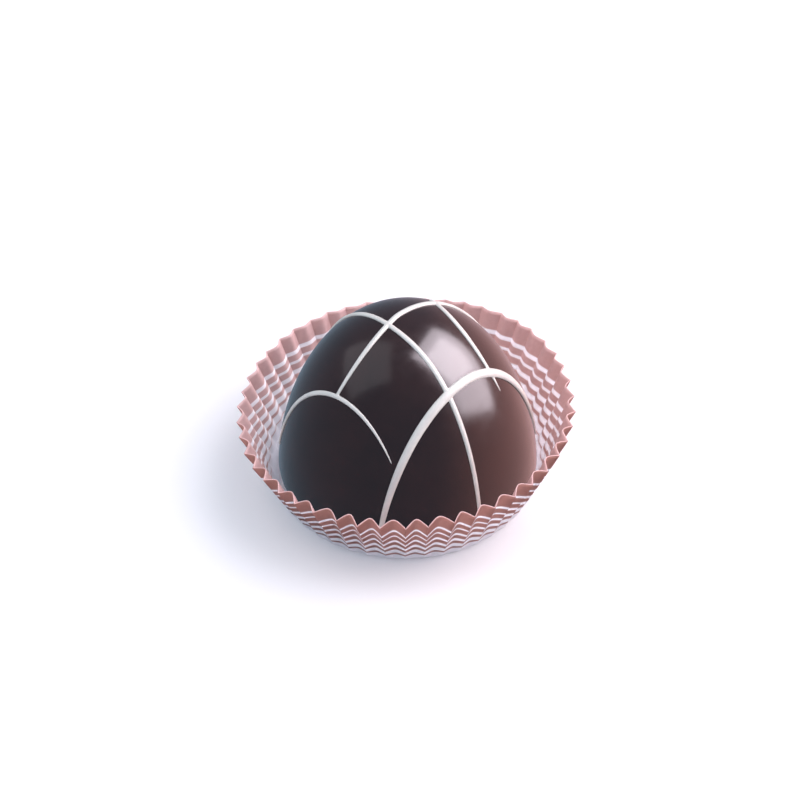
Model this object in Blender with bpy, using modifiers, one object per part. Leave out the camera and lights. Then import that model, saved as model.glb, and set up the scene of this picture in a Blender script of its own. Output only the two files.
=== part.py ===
"""Chocolate truffle in a pleated paper case.

A tall moulded dome of dark chocolate, crossed by thin piped lines of white
chocolate, stands on the flat base of a low paper case with a flared, pleated
wall. Metres, +Z up. The origin is the centre of the case's underside, and the
side that is looked at from the front faces -Y.
"""

import math

import bmesh
import bpy
from mathutils import Vector

MM = 0.001
TINY = 1e-6
MERGE_DISTANCE = 0.01 * MM

# Paper case
PLEATS = 48
RIM_RADIUS = 20.0 * MM
CASE_HEIGHT = 9.7 * MM
BASE_RADIUS = 16.2 * MM
BASE_FOLD = 0.6 * MM
PLEAT_DEPTH = 0.8 * MM
FRONT_EXTRA_DEPTH = 0.2 * MM
FOLD_CRISPNESS = 0.95
PAPER = 0.15 * MM
POINTS_PER_PLEAT = 4

# Truffle: a dome of revolution with a softly rounded foot
TRUFFLE_RADIUS = 15.8 * MM
TRUFFLE_HEIGHT = 21.2 * MM
TOP_ROUNDNESS = 2.43
SIDE_ROUNDNESS = 1.58
FOOT_ROUNDING = 0.8 * MM
TRUFFLE_SPOT = Vector((0.3 * MM, -0.1 * MM, 0.0))
TRUFFLE_STEPS = 60
TRUFFLE_RINGS = 17
FOOT_RINGS = 3

# Piped lines
GAP = 0.3 * MM
LINE_THICKNESS = 0.4 * MM
LINE_STEPS = 40
TIP_WIDTH = 0.25
SEARCH_STEPS = 40

# Each line is where a plane cuts the dome. The plane faces "heading" degrees
# round from +X, leans back by "lean" degrees and stands "offset" mm from the
# truffle's axis. The line runs between two angles, counted up from the plane's
# own floor line, and its end below 90 degrees may "bend" out of the plane, in mm.
# It is "width" mm wide, with tips that narrow over "tapers" degrees.
LINES = {
    "long_front": dict(heading=-44.9, lean=-0.5, offset=8.44, bend=1.8,
        angles=(164, 16), width=1.1, tapers=(0, 25)),
    "long_back": dict(heading=-32.5, lean=-15.1, offset=-7.27, bend=13.7,
        angles=(121, 17), width=0.75, tapers=(0, 30)),
    "short_right": dict(heading=30.6, lean=16.1, offset=10.71, bend=0,
        angles=(72, 121), width=0.65, tapers=(14, 30)),
    "long_left": dict(heading=-138.8, lean=2.5, offset=2.6, bend=0,
        angles=(14, 166), width=0.62, tapers=(0, 20)),
    "short_left": dict(heading=-132.9, lean=4.8, offset=11.46, bend=0,
        angles=(58, 161), width=0.65, tapers=(30, 20)),
}
BEND_GROWTH = 1.5


def start_empty():
    """Remove every object and make one collection for the parts."""
    for item in list(bpy.data.objects):
        bpy.data.objects.remove(item, do_unlink=True)
    collection = bpy.data.collections.new("chocolate_truffle")
    bpy.context.scene.collection.children.link(collection)
    return collection


def make_material(name, colour, roughness):
    """A Principled material of one colour."""
    material = bpy.data.materials.new(name)
    material.use_nodes = True
    shader = material.node_tree.nodes["Principled BSDF"]
    shader.inputs["Base Color"].default_value = (*colour, 1.0)
    shader.inputs["Roughness"].default_value = roughness
    shader.inputs["Metallic"].default_value = 0.0
    return material


def add_object(name, mesh, collection, material=None):
    """Put a mesh in the scene as a named object."""
    item = bpy.data.objects.new(name, mesh)
    collection.objects.link(item)
    if material:
        mesh.materials.append(material)
    return item


def profile_object(name, points, collection, steps, material=None):
    """A profile of (radius, height) points, turned about Z by a Screw modifier."""
    mesh = bpy.data.meshes.new(name)
    vertices = [(radius, 0.0, height) for radius, height in points]
    edges = [(index, index + 1) for index in range(len(points) - 1)]
    mesh.from_pydata(vertices, edges, [])
    item = add_object(name, mesh, collection, material)
    screw = item.modifiers.new("turn", "SCREW")
    screw.axis = "Z"
    screw.angle = math.tau
    screw.steps = steps
    screw.render_steps = steps
    screw.use_merge_vertices = True
    screw.merge_threshold = MERGE_DISTANCE
    screw.use_smooth_shade = True
    return item


def evaluated_mesh(item):
    """A plain mesh of what an object's modifiers make."""
    depsgraph = bpy.context.evaluated_depsgraph_get()
    return bpy.data.meshes.new_from_object(item.evaluated_get(depsgraph))


def quarter_round(radius, steps):
    """Offsets (inward, up) round a quarter circle, from its side down to its foot."""
    turns = [math.pi / 2 * step / steps for step in range(steps + 1)]
    return [(radius * (1 - math.cos(turn)), radius * (1 - math.sin(turn))) for turn in turns]


# ---------------------------------------------------------------- paper case


def fold_inward(angle):
    """How far a pleat is folded in, 0 at a sharp outer fold and 1 at a rounded inner fold."""
    bend = FOLD_CRISPNESS * abs(math.sin(PLEATS * angle / 2))
    return math.asin(bend) / math.asin(FOLD_CRISPNESS)


def rim_fold_depth(angle):
    """How far the rim is folded in at an angle, a little deeper at the front than at the back."""
    deepest = PLEAT_DEPTH - FRONT_EXTRA_DEPTH * math.sin(angle)
    return deepest * fold_inward(angle)


def pleat_wall(mesh):
    """Fold the wall in, and keep the paper's own length from base to rim.

    A fold that leans out less stands higher, so the rim rises at the inner folds.
    """
    flare = RIM_RADIUS - BASE_RADIUS
    slant = math.hypot(CASE_HEIGHT, flare)
    for vertex in mesh.vertices:
        x, y, height = vertex.co
        radius = math.hypot(x, y)
        if height <= 0.0 or radius == 0.0:
            continue
        depth = rim_fold_depth(math.atan2(y, x))
        share = height / CASE_HEIGHT
        shrink = 1 - depth * share / radius
        rim_height = math.sqrt(slant**2 - (flare - depth) ** 2)
        vertex.co = (x * shrink, y * shrink, rim_height * share)


def build_case(collection, material):
    """A flat round base and a flared wall as one pleated sheet of paper."""
    foot = [(BASE_RADIUS - inward, up) for inward, up in quarter_round(BASE_FOLD, 2)]
    points = [(RIM_RADIUS, CASE_HEIGHT)] + foot + [(0.0, 0.0)]
    guide = profile_object("case_sheet", points, collection, PLEATS * POINTS_PER_PLEAT)
    mesh = evaluated_mesh(guide)
    bpy.data.objects.remove(guide, do_unlink=True)
    pleat_wall(mesh)
    case = add_object("paper_case", mesh, collection, material)
    sheet = case.modifiers.new("paper", "SOLIDIFY")
    sheet.thickness = PAPER
    sheet.offset = -1.0
    return case


# ------------------------------------------------------------------- truffle


def dome_radius(height):
    """Radius of the dome at a height above its own base."""
    share = min(max(height / TRUFFLE_HEIGHT, 0.0), 1.0)
    return TRUFFLE_RADIUS * (1 - share**SIDE_ROUNDNESS) ** (1 / TOP_ROUNDNESS)


def truffle_base():
    """Where the truffle's own base stands: on the paper, with a small gap."""
    return TRUFFLE_SPOT + Vector((0.0, 0.0, PAPER + GAP))


def dome_heights():
    """Heights of the dome's rings from its top to the foot rounding."""
    turns = [math.pi / 2 * (1 - ring / TRUFFLE_RINGS) for ring in range(TRUFFLE_RINGS + 1)]
    span = TRUFFLE_HEIGHT - FOOT_ROUNDING
    return [FOOT_ROUNDING + span * math.sin(turn) for turn in turns]


def build_truffle(collection, material):
    """The moulded dome, turned from one profile, top to bottom."""
    side = [(dome_radius(height), height) for height in dome_heights()]
    waist = side[-1][0]
    foot = [(waist - inward, up) for inward, up in quarter_round(FOOT_ROUNDING, FOOT_RINGS)]
    points = [(0.0, TRUFFLE_HEIGHT)] + side[1:-1] + foot + [(0.0, 0.0)]
    truffle = profile_object("truffle", points, collection, TRUFFLE_STEPS, material)
    truffle.location = truffle_base()
    return truffle


# --------------------------------------------------------------- piped lines


def dome_normal(point):
    """Outward direction of the dome's surface near a point on it."""
    flat = Vector((point.x, point.y, 0.0))
    radius = max(flat.length, TINY * MM)
    slope_out = TOP_ROUNDNESS * (radius / TRUFFLE_RADIUS) ** (TOP_ROUNDNESS - 1) / TRUFFLE_RADIUS
    share = max(point.z / TRUFFLE_HEIGHT, TINY)
    slope_up = SIDE_ROUNDNESS * share ** (SIDE_ROUNDNESS - 1) / TRUFFLE_HEIGHT
    return (flat / radius * slope_out + Vector((0.0, 0.0, slope_up))).normalized()


def is_inside(point):
    """Whether a point lies inside the dome."""
    return 0 <= point.z <= TRUFFLE_HEIGHT and math.hypot(point.x, point.y) < dome_radius(point.z)


def surface_point(start, direction):
    """Where a straight way from inside the dome comes out of it."""
    near = 0.0
    far = 2 * TRUFFLE_HEIGHT
    for _ in range(SEARCH_STEPS):
        middle = (near + far) / 2
        if is_inside(start + direction * middle):
            near = middle
        else:
            far = middle
    return start + direction * near


def line_centres(line):
    """Points along the middle of a line, with how far along each is, in degrees."""
    heading = math.radians(line["heading"])
    lean = math.radians(line["lean"])
    across = Vector((math.cos(heading), math.sin(heading), 0.0))
    along = Vector((-across.y, across.x, 0.0))
    upward = Vector((0.0, 0.0, 1.0)) * math.cos(lean) - across * math.sin(lean)
    first, last = line["angles"]
    stations = []
    for step in range(LINE_STEPS + 1):
        angle = first + (last - first) * step / LINE_STEPS
        turn = math.radians(angle)
        direction = along * math.cos(turn) + upward * math.sin(turn)
        bent = line["bend"] * max(math.cos(turn), 0.0) ** BEND_GROWTH
        start = across * ((line["offset"] / math.cos(lean) + bent) * MM)
        stations.append((surface_point(start, direction), abs(angle - first), abs(angle - last)))
    return stations


def tip_share(distance, taper):
    """Share of the full width at a distance from a tip that narrows."""
    if taper == 0:
        return 1.0
    share = min(distance / taper, 1.0)
    return TIP_WIDTH + (1 - TIP_WIDTH) * math.sin(share * math.pi / 2)


def build_line(name, line, collection):
    """One line as a strip that follows the dome just above its surface."""
    stations = line_centres(line)
    strip = bmesh.new()
    rows = []
    for index, (centre, from_first, from_last) in enumerate(stations):
        before = stations[max(index - 1, 0)][0]
        after = stations[min(index + 1, LINE_STEPS)][0]
        normal = dome_normal(centre)
        side = normal.cross(after - before).normalized()
        share = tip_share(from_first, line["tapers"][0]) * tip_share(from_last, line["tapers"][1])
        half = line["width"] * MM * share / 2
        lifted = centre + normal * GAP
        rows.append([strip.verts.new(lifted + side * half * place) for place in (-1, 0, 1)])
    for near, far in zip(rows, rows[1:]):
        for column in range(2):
            strip.faces.new((near[column], far[column], far[column + 1], near[column + 1]))
    mesh = bpy.data.meshes.new(name)
    strip.to_mesh(mesh)
    strip.free()
    item = add_object(name, mesh, collection)
    item.location = truffle_base()
    bead = item.modifiers.new("bead", "SOLIDIFY")
    bead.thickness = LINE_THICKNESS
    bead.offset = 1.0
    return item


def build_lines(collection, material):
    """All lines fused where they cross, as one piece of white chocolate."""
    strips = [build_line(name, line, collection) for name, line in LINES.items()]
    whole = strips[0]
    for strip in strips[1:]:
        union = whole.modifiers.new("fuse_" + strip.name, "BOOLEAN")
        union.operation = "UNION"
        union.solver = "EXACT"
        union.object = strip
    mesh = evaluated_mesh(whole)
    for strip in strips:
        bpy.data.objects.remove(strip, do_unlink=True)
    lines = add_object("white_lines", mesh, collection, material)
    lines.location = truffle_base()
    return lines


def main():
    collection = start_empty()
    build_case(collection, make_material("case_paper", (0.42, 0.17, 0.15), 0.75))
    build_truffle(collection, make_material("dark_chocolate", (0.035, 0.018, 0.016), 0.22))
    build_lines(collection, make_material("white_chocolate", (0.80, 0.77, 0.68), 0.4))


main()
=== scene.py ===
# %% [markdown]
# # A chocolate truffle in its pleated paper case
# This lesson dresses a measured model of one sweet: a moulded dome of dark
# chocolate, five thin piped lines of white chocolate, and the printed paper
# case it stands in. The measured model gives the sizes and the places. Each
# cell below adds one piece or one finish, and prints what it made.

# %% Load the measured model
import math

import bmesh
import bpy
import numpy as np
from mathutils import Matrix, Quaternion, Vector, noise


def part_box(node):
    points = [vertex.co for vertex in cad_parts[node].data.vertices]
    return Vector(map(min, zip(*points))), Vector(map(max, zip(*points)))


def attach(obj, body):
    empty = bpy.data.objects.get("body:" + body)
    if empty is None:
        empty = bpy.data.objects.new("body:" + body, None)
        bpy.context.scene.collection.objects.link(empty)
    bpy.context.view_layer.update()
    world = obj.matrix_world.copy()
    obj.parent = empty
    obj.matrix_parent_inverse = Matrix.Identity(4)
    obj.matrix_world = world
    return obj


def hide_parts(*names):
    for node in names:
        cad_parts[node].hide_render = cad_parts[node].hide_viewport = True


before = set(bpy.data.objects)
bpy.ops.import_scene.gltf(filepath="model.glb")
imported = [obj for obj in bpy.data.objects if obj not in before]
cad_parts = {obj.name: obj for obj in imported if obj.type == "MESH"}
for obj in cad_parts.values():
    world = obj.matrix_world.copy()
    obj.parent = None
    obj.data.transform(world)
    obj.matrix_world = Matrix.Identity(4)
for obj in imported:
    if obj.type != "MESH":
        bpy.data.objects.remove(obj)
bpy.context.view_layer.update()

print("measured nodes:", sorted(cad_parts))

# %% [markdown]
# ## Where the measured pieces are
# The sweet is about as big as a walnut. The corners of the measured solids give
# the dome's place and height and the rim's radius, so these can never drift
# away from them. Sizes that describe a curve or a fold are named in the cell
# that first needs them.

# %% Read the corners
MM = 0.001

case_low, case_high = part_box("paper_case")
dome_low, dome_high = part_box("truffle")
print(f"case rim {case_high.x / MM:.2f} mm from the axis, {case_high.z / MM:.2f} mm high")
print(f"dome top {dome_high.z / MM:.2f} mm high")

# %% [markdown]
# ## Camera
# A sweet this small is looked at from a hand's length away and from about 44
# degrees above the table, so the near pleats look larger than the far ones. A
# longer lens further off would frame the same width, but it would flatten that.
# The Standard view transform keeps the paper's whites clean.

# %% Camera
look_at = Vector((0.0, 0.0, 9.7 * MM))
camera_distance = 150 * MM
camera_rise = math.radians(43.6)
camera_way = Vector((0.0, -math.cos(camera_rise), math.sin(camera_rise)))

camera_data = bpy.data.cameras.new("camera")
camera_data.sensor_width = 36.0
camera_data.lens = 57.2
camera_data.shift_x = -0.0065
camera_data.shift_y = 0.001
camera_data.clip_start = 0.005
camera = bpy.data.objects.new("camera", camera_data)
bpy.context.scene.collection.objects.link(camera)
camera.location = look_at + camera_distance * camera_way
camera.rotation_euler = (look_at - camera.location).to_track_quat("-Z", "Y").to_euler()
bpy.context.scene.camera = camera
bpy.context.scene.view_settings.view_transform = "Standard"
print("camera stands at", tuple(round(c / MM, 1) for c in camera.location), "mm")

# %% [markdown]
# ## Lamps
# Polished chocolate is a dark mirror: it shows a lamp's own shape as a gleam,
# while paper only shows how much light falls on it. One set of lamps can't
# please both, so the studio has three kinds. The key lamps stand to the right
# and are rolled, so that the gleam leans. Each has a twin, a shine, that lights
# only gloss. The fills light only what is matt, and a dim card on the left does
# both, so that the shaded side doesn't go flat. Twins stand at slightly
# different distances, because lamps in the very same place hide each other.


# %% Key lamps and the card on the left
def soft_lamp(name, around, rise, distance, size, power, colour, roll=0):
    """A flat soft lamp facing the sweet; its direction in degrees round from +X and up, then its roll."""
    data = bpy.data.lights.new(name, "AREA")
    data.shape = "RECTANGLE"
    data.size, data.size_y = size
    data.energy = power
    data.color = colour
    lamp = bpy.data.objects.new(name, data)
    bpy.context.scene.collection.objects.link(lamp)
    turn, lift = math.radians(around), math.radians(rise)
    way = Vector((math.cos(turn) * math.cos(lift), math.sin(turn) * math.cos(lift), math.sin(lift)))
    lamp.location = look_at + way * distance
    upright = (-way).to_track_quat("-Z", "Y")
    lamp.rotation_euler = (upright @ Quaternion((0.0, 0.0, 1.0), math.radians(roll))).to_euler()
    lamp.visible_camera = False
    return lamp


warm_white = (1.0, 0.96, 0.98)
pearl_white = (0.98, 0.95, 1.0)
window = dict(around=11, rise=43, size=(0.82, 0.50), roll=51)
core = dict(around=15, rise=50, size=(0.36, 0.33), roll=51)

soft_lamp("window_lamp", **window, distance=0.50, power=1.8, colour=warm_white)
soft_lamp("core_lamp", **core, distance=0.49, power=0.7, colour=warm_white)
soft_lamp("left_card", around=172, rise=50, distance=0.5, size=(0.50, 0.46), power=0.60, colour=pearl_white)
print("key lamps and card:", [lamp.name for lamp in bpy.data.lights])

# %% Shines
lilac = (1.0, 0.89, 0.99)
shines = [
    soft_lamp("window_shine", **window, distance=0.51, power=10.5, colour=lilac),
    soft_lamp("core_shine", **core, distance=0.48, power=2.2, colour=lilac),
]
for shine in shines:
    shine.visible_diffuse = False
    shine.visible_transmission = False
print("shines:", [shine.name for shine in shines])

# %% Fills
far_white = dict(distance=0.7, colour=warm_white)
front_fill = soft_lamp("front_fill", around=-75, rise=50, size=(0.80, 0.80), power=1.0, **far_white)
top_fill = soft_lamp("top_fill", around=175, rise=66, size=(0.50, 0.50), power=1.1, **far_white)
back_fill = soft_lamp("back_fill", around=52, rise=46, size=(0.50, 0.50), power=10.0, **far_white)
case_fill = soft_lamp("case_fill", around=178, rise=60, size=(0.50, 0.50), power=1.8, **far_white)
for fill in (front_fill, top_fill, back_fill, case_fill):
    fill.visible_glossy = False
print("lamps:", [lamp.name for lamp in bpy.data.lights])

# %% [markdown]
# ## One helper for nodes
# Materials and the sky are both made of nodes, and most steps are the same few:
# add a node, feed its sockets, map a value from one span to another, blend two
# colours. The helper wraps one node tree, so each finish below is a few short
# lines. A finish is that helper with a material and its Principled shader.


# %% A node helper
class Nodes:
    """Short ways to add nodes to one tree."""

    def __init__(self, tree):
        self.tree = tree

    def node(self, kind, settings=None, **values):
        """Add a node, with its properties in settings and its inputs in values."""
        made = self.tree.nodes.new("ShaderNode" + kind)
        for name, value in (settings or {}).items():
            setattr(made, name, value)
        for name, value in values.items():
            self.feed(made.inputs[name.replace("_", " ")], value)
        return made

    def feed(self, socket, value):
        """Link a node's output to a socket, or set the socket's own value."""
        if isinstance(value, bpy.types.NodeSocket):
            self.tree.links.new(value, socket)
        else:
            socket.default_value = value

    def place(self, kind="Object"):
        """Where a point is on the piece, or which way it lies in the sky."""
        return self.node("TexCoord").outputs[kind]

    def noise(self, where, scale, detail=3.0):
        """Soft noise, about 0.5 in the middle."""
        return self.node("TexNoise", Vector=where, Scale=scale, Detail=detail).outputs["Fac"]

    def span(self, value, low, high, start=0.0, end=1.0, easing="LINEAR"):
        """Map a value from one span to another."""
        mapped = self.node("MapRange", {"interpolation_type": easing}, Value=value)
        for name, number in (("From Min", low), ("From Max", high), ("To Min", start), ("To Max", end)):
            mapped.inputs[name].default_value = number
        return mapped.outputs["Result"]

    def add(self, first, second):
        """The sum of two values."""
        made = self.node("Math", {"operation": "ADD"})
        self.feed(made.inputs[0], first)
        self.feed(made.inputs[1], second)
        return made.outputs["Value"]

    def blend(self, share, first, second):
        """A colour between two colours."""
        return self.node("Mix", {"data_type": "RGBA"}, Factor=share, A=first, B=second).outputs["Result"]


print("Nodes can", [name for name in vars(Nodes) if not name.startswith("_")])


# %% A finish
class Finish(Nodes):
    """A material with a Principled shader."""

    def __init__(self, name):
        self.material = bpy.data.materials.new(name)
        self.material.use_nodes = True
        super().__init__(self.material.node_tree)
        self.shader = self.tree.nodes["Principled BSDF"]

    def give(self, name, value):
        """Feed one input of the shader."""
        self.feed(self.shader.inputs[name], value)

    def bump(self, height, distance, strength):
        """Fine relief; its distance in metres."""
        made = self.node("Bump", Height=height, Distance=distance, Strength=strength)
        self.give("Normal", made.outputs["Normal"])


print("a Finish can also", [name for name in vars(Finish) if not name.startswith("_")])

# %% [markdown]
# ## Sky
# A dark mirror also shows the room. Here the room is cool all round and warm low
# down on the right, so the dome goes from blue-black on its left flank to
# red-brown on its right. The camera itself doesn't see this sky: the Light Path
# node gives it an even, pale backdrop, whichever way it looks.

# %% Sky
warm_side = math.radians(15)
warm_drop = -0.25
warm_start = 0.1
cool_sky = (0.27, 0.36, 0.46, 1.0)
warm_sky = (1.50, 0.82, 0.80, 1.0)
backdrop = (0.90, 0.91, 0.93, 1.0)

sky = bpy.data.worlds.new("studio_sky")
sky.use_nodes = True
sky_nodes = Nodes(sky.node_tree)
nearness = sky_nodes.node("VectorMath", {"operation": "DOT_PRODUCT"}, Vector=sky_nodes.place("Generated"))
nearness.inputs[1].default_value = Vector((math.cos(warm_side), math.sin(warm_side), warm_drop)).normalized()
warmth = sky_nodes.span(nearness.outputs["Value"], warm_start, 1.0, easing="SMOOTHSTEP")
room = sky_nodes.blend(warmth, cool_sky, warm_sky)
is_seen = sky_nodes.node("LightPath").outputs["Is Camera Ray"]
sky_nodes.feed(sky.node_tree.nodes["Background"].inputs["Color"], sky_nodes.blend(is_seen, room, backdrop))
bpy.context.scene.world = sky
print("sky nodes:", len(sky.node_tree.nodes))

# %% [markdown]
# ## Table
# The sweet stands on a plain pale table that catches its soft shadow. The table
# isn't part of the sweet. It is round, so that no corner shows in a low view,
# and gloss doesn't see it, because a wide pale band round the dome's foot would
# hide how dark the chocolate is.


# %% Table
def piece_from_mesh(name, mesh, *finishes):
    """Put a mesh in the scene with its finishes, smooth."""
    piece = bpy.data.objects.new(name, mesh)
    bpy.context.scene.collection.objects.link(piece)
    for finish in finishes:
        mesh.materials.append(finish)
    mesh.shade_smooth()
    return piece


table_reach = 0.9
table_gap = 0.05 * MM
table_shade = (0.86, 0.86, 0.87, 1.0)
table_white = (0.88, 0.88, 0.88, 1.0)

pale = Finish("pale_table")
pale_drift = pale.span(pale.noise(pale.place(), scale=14.0), 0.3, 0.7)
pale.give("Base Color", pale.blend(pale_drift, table_shade, table_white))
pale.give("Roughness", 0.7)

disc = bmesh.new()
bmesh.ops.create_circle(disc, cap_ends=True, segments=128, radius=table_reach)
table_mesh = bpy.data.meshes.new("table")
disc.to_mesh(table_mesh)
disc.free()
table = piece_from_mesh("table", table_mesh, pale.material)
table.location.z = case_low.z - table_gap
table.visible_glossy = False
print("table", 2 * table_reach, "m wide")

# %% [markdown]
# ## The dome
# The shell is cast in a polished mould, so it is one smooth turned shape with a
# mirror-like skin, and only very slight waves where the chocolate shrank as it
# set. A turned profile gives the shape, and a small smooth wave moves the skin
# by some hundredths of a millimetre, so that reflections bend a little, as they
# do on real chocolate. A Screw modifier could turn the profile too, but rings
# made in a loop are plain points at once, which the wave can move.

# %% The dome's curve
# (radius / foot_radius) ** top_roundness + (height / dome_tall) ** side_roundness = 1
dome_foot = Vector(((dome_low.x + dome_high.x) / 2, (dome_low.y + dome_high.y) / 2, dome_low.z))
dome_tall = dome_high.z - dome_low.z
foot_radius = 15.8 * MM
top_roundness = 2.43
side_roundness = 1.58
least_radius = 1e-7
least_share = 1e-6


def dome_radius(height):
    """Radius of the dome at a height above its own base."""
    share = min(max(height / dome_tall, 0.0), 1.0)
    return foot_radius * (1 - share**side_roundness) ** (1 / top_roundness)


def dome_normal(point):
    """Outward direction of the dome's skin at a point measured from its base's centre."""
    flat = Vector((point.x, point.y, 0.0))
    radius = max(flat.length, least_radius)
    slope_out = top_roundness * (radius / foot_radius) ** (top_roundness - 1) / foot_radius
    share = max(point.z / dome_tall, least_share)
    slope_up = side_roundness * share ** (side_roundness - 1) / dome_tall
    return (flat / radius * slope_out + Vector((0.0, 0.0, slope_up))).normalized()


print(f"dome {dome_tall / MM:.2f} mm tall, standing at {tuple(round(c / MM, 2) for c in dome_foot)} mm")
print("dome radius half way up:", round(dome_radius(dome_tall / 2) / MM, 2), "mm")

# %% Rings from the dome's top to its rounded foot
side_steps = 90
foot_steps = 8
foot_rounding = 0.8 * MM

dome_rings = [(0.0, dome_tall)]
for step in range(1, side_steps):
    turn = math.pi / 2 * (1 - step / side_steps)
    height = foot_rounding + (dome_tall - foot_rounding) * math.sin(turn)
    dome_rings.append((dome_radius(height), height))
waist = dome_radius(foot_rounding)
for step in range(foot_steps + 1):
    turn = math.pi / 2 * step / foot_steps
    inward = foot_rounding * (1 - math.cos(turn))
    dome_rings.append((waist - inward, foot_rounding * (1 - math.sin(turn))))
dome_rings.append((0.0, 0.0))
print("dome rings:", len(dome_rings))


# %% The dome's mesh
def circle(mesh, radius, height, steps):
    """A ring of loose points."""
    turns = [math.tau * step / steps for step in range(steps)]
    return [mesh.verts.new((radius * math.cos(turn), radius * math.sin(turn), height)) for turn in turns]


def ring_mesh(name, rings, steps):
    """A closed skin through rings of (radius, height), from a top point to a bottom point."""
    mesh = bmesh.new()
    top = mesh.verts.new((0.0, 0.0, rings[0][1]))
    bottom = mesh.verts.new((0.0, 0.0, rings[-1][1]))
    loops = [circle(mesh, radius, height, steps) for radius, height in rings[1:-1]]
    for step in range(steps):
        after = (step + 1) % steps
        mesh.faces.new((top, loops[0][step], loops[0][after]))
        mesh.faces.new((bottom, loops[-1][after], loops[-1][step]))
        for upper, lower in zip(loops, loops[1:]):
            mesh.faces.new((upper[step], lower[step], lower[after], upper[after]))
    made = bpy.data.meshes.new(name)
    mesh.to_mesh(made)
    mesh.free()
    return made


dome_steps = 180
dome_mesh = ring_mesh("dome", dome_rings, dome_steps)
print("dome mesh:", len(dome_mesh.polygons), "faces")

# %% Waves in the cast skin
# Each wave has how many times it swings in a metre, and its lift in millimetres.
slow_waves, slow_lift = 130, 0.020
quick_waves, quick_lift = 420, 0.005
quick_shift = Vector((7.0, 3.0, 1.0))


def skin_wave(point):
    """How far the cast skin lies off the true curve, in metres."""
    slow = noise.noise(point * slow_waves) * slow_lift
    quick = noise.noise(point * quick_waves + quick_shift) * quick_lift
    return (slow + quick) * MM


for vertex in dome_mesh.vertices:
    if vertex.co.z > foot_rounding:
        vertex.co += dome_normal(vertex.co) * skin_wave(vertex.co)
waved_top = max(vertex.co.z for vertex in dome_mesh.vertices)
print("waved skin's top:", round(waved_top / MM, 3), "mm above the dome's base")

# %% [markdown]
# ## Dark chocolate
# Tempered dark chocolate is nearly black where it faces away from the light and
# red-brown where light soaks in. Its skin is glossy, but not a perfect mirror.
# A coat layer could stand for the mould's polish, but a low roughness on the
# shader itself gives the same gleam. The base colour drifts a little between two
# very dark browns, and the roughness varies by a few hundredths.


# %% Dark chocolate finish
def triangles(piece):
    """How many triangles a piece has with its modifiers applied."""
    mesh = piece.evaluated_get(bpy.context.evaluated_depsgraph_get()).to_mesh()
    return sum(len(face.vertices) - 2 for face in mesh.polygons)


darkest_cocoa = (0.016, 0.0064, 0.0068, 1.0)
warmer_cocoa = (0.024, 0.0086, 0.0084, 1.0)

chocolate = Finish("dark_chocolate")
chocolate_place = chocolate.place()
cocoa_drift = chocolate.span(chocolate.noise(chocolate_place, scale=160.0, detail=4.0), 0.35, 0.65)
chocolate.give("Base Color", chocolate.blend(cocoa_drift, darkest_cocoa, warmer_cocoa))
cocoa_grain = chocolate.noise(chocolate_place, scale=900.0, detail=3.0)
chocolate.give("Roughness", chocolate.span(cocoa_grain, 0.3, 0.7, start=0.16, end=0.22))
chocolate.bump(chocolate.noise(chocolate_place, scale=1500.0, detail=2.0), distance=0.01 * MM, strength=0.25)

dome = piece_from_mesh("dome", dome_mesh, chocolate.material)
dome.location = dome_foot
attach(dome, "root")
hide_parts("truffle")
print("dome:", triangles(dome), "triangles")

# %% [markdown]
# ## The piped lines
# White chocolate is piped across the dome from a fine nozzle. Each line is very
# nearly a flat cut through the dome, because the hand moves straight, and where
# two lines cross they melt into one. A curve with a round bevel would stand too
# proud, so each line is laid out as the edge of a leaning plane, given a low
# section that narrows at its tips, and then all five are remeshed together,
# which leaves the small fillets of a real crossing.

# %% Where the lines run
# heading: the way the cutting plane faces, degrees from +X; lean: its tilt;
# offset: millimetres from the dome's axis; bend: millimetres that the end below
# 90 degrees curves out of the plane; angles: where the line starts and ends,
# counted up from the base; width: millimetres at start, middle and end.
piped_lines = {
    "long_front": dict(
        heading=-44.9, lean=-0.5, offset=8.44, bend=1.8, angles=(170, 12), width=(0.45, 1.10, 0.55)
    ),
    "long_back": dict(
        heading=-32.5, lean=-15.1, offset=-7.27, bend=13.7, angles=(121, 14), width=(0.40, 0.80, 0.40)
    ),
    "short_right": dict(
        heading=30.6, lean=16.1, offset=10.71, bend=0, angles=(78, 120), width=(0.60, 0.66, 0.14)
    ),
    "long_left": dict(
        heading=-138.8, lean=2.5, offset=2.6, bend=0, angles=(11, 168), width=(0.50, 0.66, 0.46)
    ),
    "short_left": dict(
        heading=-132.9, lean=4.8, offset=11.46, bend=0, angles=(58, 164), width=(0.14, 0.60, 0.45)
    ),
}
print("lines:", list(piped_lines))

# %% A line's route over the dome
line_steps = 150
search_steps = 44
bend_growth = 1.5


def surface_point(start, direction):
    """Where a straight way from inside the dome comes out of its skin."""
    near, far = 0.0, 2 * dome_tall
    for _ in range(search_steps):
        middle = (near + far) / 2
        point = start + direction * middle
        inside = 0 <= point.z <= dome_tall and math.hypot(point.x, point.y) < dome_radius(point.z)
        near, far = (middle, far) if inside else (near, middle)
    return start + direction * near


def line_route(line):
    """Points on the dome's skin along one line."""
    heading, lean = math.radians(line["heading"]), math.radians(line["lean"])
    across = Vector((math.cos(heading), math.sin(heading), 0.0))
    along = Vector((-across.y, across.x, 0.0))
    upward = Vector((0.0, 0.0, 1.0)) * math.cos(lean) - across * math.sin(lean)
    first, last = (math.radians(angle) for angle in line["angles"])
    route = []
    for step in range(line_steps + 1):
        turn = first + (last - first) * step / line_steps
        bent = line["bend"] * max(math.cos(turn), 0.0) ** bend_growth
        start = across * ((line["offset"] / math.cos(lean) + bent) * MM)
        route.append(surface_point(start, along * math.cos(turn) + upward * math.sin(turn)))
    return route


for name, line in piped_lines.items():
    route = line_route(line)
    length = sum((b - a).length for a, b in zip(route, route[1:]))
    print(f"{name}: {length / MM:.1f} mm long")

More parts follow.
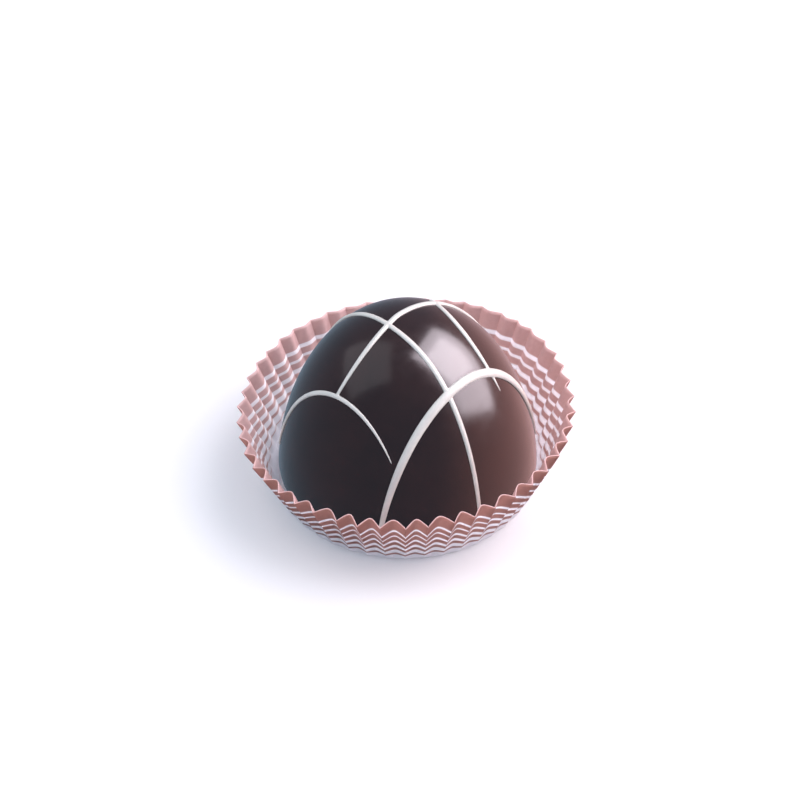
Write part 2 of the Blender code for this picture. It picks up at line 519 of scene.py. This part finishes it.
# %% A bead's own section
# bead_lift: height as a share of half the width; bead_sink: how deep the bead's
# underside reaches into the chocolate; width_growth: under 1, a bead widens soon
# after its tip; width_wander and wanders: how much its width wavers, and how
# often; tip_steps and bluntest_tip: how many steps round off an end, and the
# share of the section that is left there.
section_steps = 12
bead_lift = 0.7
bead_sink = 0.128 * MM
width_growth = 0.8
width_wander = 0.04
wanders = 9
tip_steps = 2
bluntest_tip = 0.15


def bead_width(line, share):
    """Width at a share of the way along, eased between the three given widths."""
    first, middle, last = line["width"]
    tip = first if share < 0.5 else last
    ease = math.sin(share * math.pi) ** width_growth
    return (tip + (middle - tip) * ease) * MM


def bead_halves(line, index, seed):
    """Half the width and the height of a bead at one step of its route, with round ends."""
    share = index / line_steps
    unevenness = 1 + width_wander * noise.noise(Vector((share * wanders + seed, seed, 0.0)))
    half = bead_width(line, share) / 2 * unevenness
    from_tip = min(min(index, line_steps - index) / tip_steps, 1.0)
    rounding = max(math.sqrt(1 - (1 - from_tip) ** 2), bluntest_tip)
    return half * rounding, half * bead_lift * rounding


for name, line in piped_lines.items():
    half, tall = bead_halves(line, line_steps // 2, 0.0)
    print(f"{name}: {2 * half / MM:.2f} mm wide and {tall / MM:.2f} mm proud in the middle")


# %% Loft the beads
def add_bead(mesh, line, seed):
    """Loft one line's low section along its route."""
    route = line_route(line)
    rows = []
    for index, centre in enumerate(route):
        before, after = route[max(index - 1, 0)], route[min(index + 1, line_steps)]
        normal = dome_normal(centre)
        side = normal.cross(after - before).normalized()
        half, tall = bead_halves(line, index, seed)
        row = []
        for step in range(section_steps):
            turn = math.tau * step / section_steps
            lift = (tall if math.sin(turn) > 0 else bead_sink) * math.sin(turn)
            row.append(mesh.verts.new(centre + side * half * math.cos(turn) + normal * lift))
        rows.append(row)
    for near, far in zip(rows, rows[1:]):
        for step in range(section_steps):
            after = (step + 1) % section_steps
            mesh.faces.new((near[step], far[step], far[after], near[after]))
    mesh.faces.new(rows[0])
    mesh.faces.new(reversed(rows[-1]))


seed_step = 3.7
beads = bmesh.new()
for number, line in enumerate(piped_lines.values()):
    add_bead(beads, line, number * seed_step)
bmesh.ops.recalc_face_normals(beads, faces=beads.faces)
lines_mesh = bpy.data.meshes.new("piped_lines")
beads.to_mesh(lines_mesh)
beads.free()
print("loose beads:", len(lines_mesh.polygons), "faces")

# %% [markdown]
# ## White chocolate
# White chocolate is an ivory cream colour and a little waxy, so it is satin
# rather than glossy. Subsurface light would suit a thick slab, but these beads
# are thinner than a millimetre, so a drifting ivory and a soft grain are enough.

# %% White chocolate finish
darker_ivory = (0.62, 0.61, 0.575, 1.0)
lighter_ivory = (0.67, 0.66, 0.62, 1.0)

ivory = Finish("white_chocolate")
ivory_place = ivory.place()
ivory_drift = ivory.span(ivory.noise(ivory_place, scale=420.0), 0.35, 0.65)
ivory.give("Base Color", ivory.blend(ivory_drift, darker_ivory, lighter_ivory))
ivory_grain = ivory.noise(ivory_place, scale=1400.0)
ivory.give("Roughness", ivory.span(ivory_grain, 0.3, 0.7, start=0.38, end=0.5))
ivory.bump(ivory.noise(ivory_place, scale=2200.0, detail=2.0), distance=0.02 * MM, strength=0.3)
print("white chocolate nodes:", len(ivory.tree.nodes))

# %% Melt the beads together
lines = piece_from_mesh("white_lines_piped", lines_mesh, ivory.material)
lines.location = dome_foot
melt = lines.modifiers.new("melt", "REMESH")
melt.mode = "VOXEL"
melt.voxel_size = 0.075 * MM
settle = lines.modifiers.new("settle", "SMOOTH")
settle.factor = 0.5
settle.iterations = 6
melted = bpy.data.meshes.new_from_object(lines.evaluated_get(bpy.context.evaluated_depsgraph_get()))
lines.modifiers.clear()
lines.data = melted
melted.shade_smooth()
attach(lines, "root")
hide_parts("white_lines")
print("white lines:", triangles(lines), "triangles")

# %% [markdown]
# ## The paper case
# A sweet case is one round of thin printed paper, pressed between fluted dies.
# The base stays flat and the wall stands up in pleats that are sharp on the
# outside and rounder inside, and deepest at the rim. Paper doesn't stretch, so a
# fold that leans out less stands higher. The folds are never quite even, and
# this case stands a little crooked and sags behind. The sheet is made as rings
# of points pulled in and out by a pleat function, and a Solidify modifier then
# gives it the thickness of paper.

# %% How uneven the pleats are
# fold_drift: how far a fold wanders round, in pleats; fold_depth: its share of
# the usual depth; rim_drop and fold_spread: how much lower and further in the
# rim lies there, in millimetres.
pleats = 48
uneven = np.random.default_rng(11)
fold_drift = uneven.uniform(-0.07, 0.07, pleats)
fold_depth = uneven.uniform(0.88, 1.08, pleats)
rim_drop = uneven.uniform(0.0, 0.10, pleats)
fold_spread = uneven.uniform(0.0, 0.14, pleats)


def between(values, place):
    """A value for each fold, eased from one fold to the next."""
    index = int(math.floor(place)) % pleats
    share = place - math.floor(place)
    ease = share * share * (3 - 2 * share)
    return values[index] * (1 - ease) + values[(index + 1) % pleats] * ease


print(f"fold depths run from {fold_depth.min():.2f} to {fold_depth.max():.2f} of the usual")

# %% The pleated wall
# fold_crispness: nearer 1, the inner folds are sharper; fold_growth: under 1,
# the folds are already deep low on the wall; back_sag and sag_narrowness: how
# far the rim sags behind, and how narrow the sag is; rim_tilt: how far the rim
# rises on the right and drops on the left.
rim_radius = case_high.x
base_radius = 16.2 * MM
base_fold = 0.6 * MM
outer_rim = 9.7 * MM
flare = rim_radius - base_radius
slant = math.hypot(outer_rim, flare)
pleat_depth = 0.85 * MM
front_extra_depth = 0.2 * MM
fold_crispness = 0.86
fold_growth = 0.65
back_sag = 0.6 * MM
sag_narrowness = 8
rim_tilt = 1.0 * MM


def pleat_fold(place):
    """0 at a sharp outer fold, 1 at a slightly rounded inner fold, nearly straight between."""
    bend = fold_crispness * abs(math.sin(math.pi * place))
    return math.asin(bend) / math.asin(fold_crispness)


def sheet_point(place, share):
    """A point of the sheet: place counts pleats round, share runs from the base's edge to the rim."""
    angle = math.tau * place / pleats
    outer = base_radius + flare * share
    height = outer_rim * share
    if height < base_fold:
        rise = 1 - height / base_fold
        outer -= base_fold * (1 - math.sqrt(1 - rise * rise))
    deepest = pleat_depth - front_extra_depth * math.sin(angle)
    depth = deepest * pleat_fold(place) * between(fold_depth, place)
    leaning = flare - depth
    height *= math.sqrt(slant**2 - leaning**2) / outer_rim
    radius = outer - depth * share**fold_growth - between(fold_spread, place) * MM * share**2
    angle += between(fold_drift, place) * math.tau / pleats * share
    sag = back_sag * max(math.sin(angle), 0.0) ** sag_narrowness
    height -= (between(rim_drop, place) * MM + sag) * share**2
    height += rim_tilt * math.cos(angle) * share
    return Vector((radius * math.cos(angle), radius * math.sin(angle), height))


print(f"slant {slant / MM:.2f} mm; rim at the front {sheet_point(0.75 * pleats, 1.0).z / MM:.2f} mm high")

# %% Rings of the sheet, from the base's centre to the rim
points_per_pleat = 16
around = pleats * points_per_pleat
base_rings = (0.2, 0.4, 0.6, 0.8, 0.93)
wall_rows = 26
row_crowding = 1.15

sheet = bmesh.new()
centre = sheet.verts.new((0.0, 0.0, 0.0))
rings = [(circle(sheet, (base_radius - base_fold) * share, 0.0, around), None) for share in base_rings]
for row in range(wall_rows + 1):
    share = (row / wall_rows) ** row_crowding
    points = [sheet_point(step / points_per_pleat, share) for step in range(around)]
    rings.append(([sheet.verts.new(point) for point in points], share))
print("rings:", len(rings), "points round:", around)

# %% The case's sheet, with its print map
print_map = sheet.loops.layers.uv.new("print")
below_the_wall = 1.1


def from_rim(share):
    """How far down the slant a ring lies, in centimetres, measured on the paper."""
    return 100 * (slant * (1 - share) if share is not None else slant * below_the_wall)


def add_face(corners, spots):
    """One face, with its place round the case and down from the rim at each corner."""
    face = sheet.faces.new(corners)
    for loop, (place, share) in zip(face.loops, spots):
        loop[print_map].uv = (place / around, from_rim(share))


innermost = rings[0][0]
for step in range(around):
    after = (step + 1) % around
    add_face((centre, innermost[after], innermost[step]), [(step, None)] * 3)
    for (lower, low_share), (upper, high_share) in zip(rings, rings[1:]):
        spots = ((step, low_share), (step + 1, low_share), (step + 1, high_share), (step, high_share))
        add_face((lower[step], lower[after], upper[after], upper[step]), spots)
sheet_mesh = bpy.data.meshes.new("case_sheet")
sheet.to_mesh(sheet_mesh)
sheet.free()
print("case sheet:", len(sheet_mesh.polygons), "faces")

# %% [markdown]
# ## Printed paper
# The paper is white and printed in a soft brown-pink: one tall band at the rim,
# then narrower bands with fine white rings between them that widen downwards
# until the paper is white at the base. The inside shows the same print, paler,
# and its white rings are drawn wider. That extra white is a painted highlight,
# standing in for the glare that washes out the lit pleats inside. An image would
# hold the print too, but a colour ramp along the paper's own slant, held in a UV
# map, stays sharp at any size and bends with every pleat. Thin paper also lets
# light through, so a translucent shader takes part.

# %% Where the white rings lie, in millimetres down from the rim
first_ring = 2.73
ring_pitch = 1.36
ring_widths = (0.44, 0.30, 0.48, 0.60, 0.78, 1.05)
ring_softness = 0.05
print_reach = 10.5


# The spread widens the white rings. Above 1, the extra white is a painted highlight for the glare on lit
# pleats.
def ring_stops(ring_and_glare_spread):
    """Places down from the rim where the print starts (1) or stops (0)."""
    stops = [(0.0, 1.0)]
    for index, width in enumerate(ring_widths):
        middle = first_ring + ring_pitch * index
        low, high = middle - width * ring_and_glare_spread / 2, middle + width * ring_and_glare_spread / 2
        stops += [(low - ring_softness, 1.0), (low + ring_softness, 0.0)]
        stops += [(high - ring_softness, 0.0), (high + ring_softness, 1.0)]
    stops[-1] = (stops[-1][0], 0.0)
    return stops


def ring_ramp(finish, down, ring_and_glare_spread):
    """1 where the print is, 0 on the white rings and below the last one; down is in centimetres."""
    ramp = finish.node("ValToRGB", Fac=finish.span(down, 0.0, print_reach / 10))
    elements = ramp.color_ramp.elements
    elements.remove(elements[-1])
    elements[0].position = 0.0
    elements[0].color = (1.0, 1.0, 1.0, 1.0)
    for place, value in ring_stops(ring_and_glare_spread)[1:]:
        elements.new(place / print_reach).color = (value, value, value, 1.0)
    return ramp.outputs["Color"]


print("the print ends", round(ring_stops(1.0)[-3][0], 2), "mm down from the rim")

# %% A paper finish
backlit_white = (0.92, 0.90, 0.93, 1.0)
backlit_print = (0.62, 0.44, 0.41, 1.0)
light_through = 0.55
fibre_shade = 0.95
print_waver = 0.012


def paper_finish(name, lighter_print, darker_print, white, ring_and_glare_spread):
    """Thin matt paper with the ring print in a colour that drifts between two tones."""
    paper = Finish(name)
    where = paper.place()
    print_place = paper.node("UVMap", {"uv_map": "print"}).outputs["UV"]
    down = paper.node("SeparateXYZ", Vector=print_place).outputs["Y"]
    waver = paper.span(paper.noise(where, scale=260.0), 0.0, 1.0, -print_waver, print_waver)
    printed = ring_ramp(paper, paper.add(down, waver), ring_and_glare_spread)
    ink_drift = paper.span(paper.noise(where, scale=1800.0, detail=4.0), 0.35, 0.65)
    ink = paper.blend(ink_drift, lighter_print, darker_print)
    fibre_drift = paper.span(paper.noise(where, scale=1200.0), 0.3, 0.7)
    fibre = paper.blend(fibre_drift, white, tuple(part * fibre_shade for part in white))
    paper.give("Base Color", paper.blend(printed, fibre, ink))
    paper.give("Roughness", paper.span(paper.noise(where, scale=700.0), 0.3, 0.7, start=0.62, end=0.8))
    paper.bump(paper.noise(where, scale=2600.0, detail=3.0), distance=0.02 * MM, strength=0.35)
    glow = paper.node("BsdfTranslucent", Color=paper.blend(printed, backlit_white, backlit_print))
    through = paper.node("MixShader", Fac=light_through)
    paper.feed(through.inputs[1], paper.shader.outputs["BSDF"])
    paper.feed(through.inputs[2], glow.outputs["BSDF"])
    paper.feed(paper.tree.nodes["Material Output"].inputs["Surface"], through.outputs["Shader"])
    return paper.material


outside = paper_finish(
    "case_outside",
    lighter_print=(0.240, 0.102, 0.080, 1.0),
    darker_print=(0.190, 0.076, 0.059, 1.0),
    white=(0.84, 0.85, 0.90, 1.0),
    ring_and_glare_spread=1.0,
)
inside = paper_finish(
    "case_inside",
    lighter_print=(0.74, 0.53, 0.54, 1.0),
    darker_print=(0.66, 0.45, 0.46, 1.0),
    white=(0.92, 0.91, 0.95, 1.0),
    # The inside's white rings are drawn wider: a painted highlight for the glare on its lit pleats.
    ring_and_glare_spread=1.35,
)
print("paper finishes:", outside.name, inside.name)

# %% [markdown]
# ## The finished case
# Solidify gives the sheet its thickness and its second side, with the paler
# finish. Light linking then lets two of the fills reach only the paper: thin
# paper glows behind a sweet, and the same light on the table would burn it out.
# Gloss doesn't see the case, so that its rings don't stripe the dome.

# %% The finished case
sharp_fold = math.radians(50)

case = piece_from_mesh("pleated_case", sheet_mesh, outside, inside)
sheet_mesh.set_sharp_from_angle(angle=sharp_fold)
paper = case.modifiers.new("paper", "SOLIDIFY")
paper.thickness = 0.1 * MM
paper.offset = -1.0
paper.material_offset = 1
paper.material_offset_rim = 1
case.visible_glossy = False
paper_only = bpy.data.collections.new("paper_only")
paper_only.objects.link(case)
for fill in (back_fill, case_fill):
    fill.light_linking.receiver_collection = paper_only
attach(case, "root")
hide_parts("paper_case")
print("paper case:", triangles(case), "triangles")
